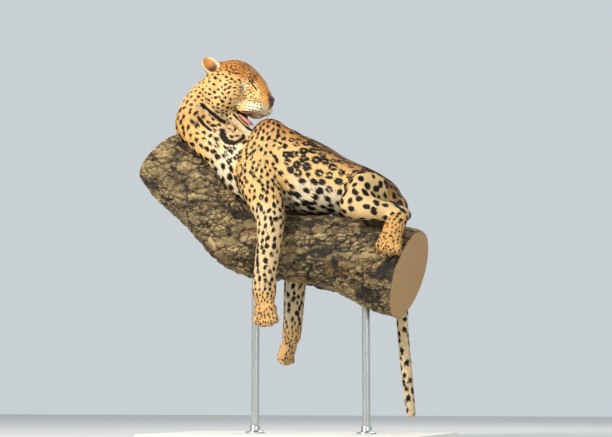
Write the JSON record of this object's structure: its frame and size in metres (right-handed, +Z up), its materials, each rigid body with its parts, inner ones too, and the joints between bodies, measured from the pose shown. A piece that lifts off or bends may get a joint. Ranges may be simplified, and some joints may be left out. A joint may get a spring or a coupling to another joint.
{
  "type": "leopard model on a limb and stand",
  "caption": "Life-size still model of a leopard lying astride a cut limb, legs and tail hanging, head turned back over its shoulder, held on a flat base by short rods.",
  "frame": {"origin": "middle of the underside of the stand's base", "axes": "+Z up; the animal lies along X with its breast towards -X and its rump towards +X; its left side, which the picture shows, faces -Y"},
  "size_m": [1.1183, 0.62, 1.4047],
  "materials": {
    "fur_gold": "matte short fur",
    "fur_pale": "matte short fur",
    "tongue_pink": "moist satin",
    "eye_amber": "glossy",
    "bark": "rough bark",
    "painted_wood": "satin paint",
    "steel": "brushed"
  },
  "bodies": {
    "root": {"head": "fur_gold", "jaw": "fur_gold", "tongue": "tongue_pink", "eye_right": "eye_amber", "eye_left": "eye_amber", "ear_right": "fur_gold", "ear_left": "fur_gold", "neck": "fur_gold", "torso": "fur_gold", "tail": "fur_gold", "foreleg_left": "fur_pale", "foreleg_right": "fur_pale", "hindleg_left": "fur_pale", "hindleg_right": "fur_pale", "perch": "bark", "stand_base": "painted_wood", "stand_rod_1": "steel", "stand_rod_2": "steel"}
  },
  "joints": []
}
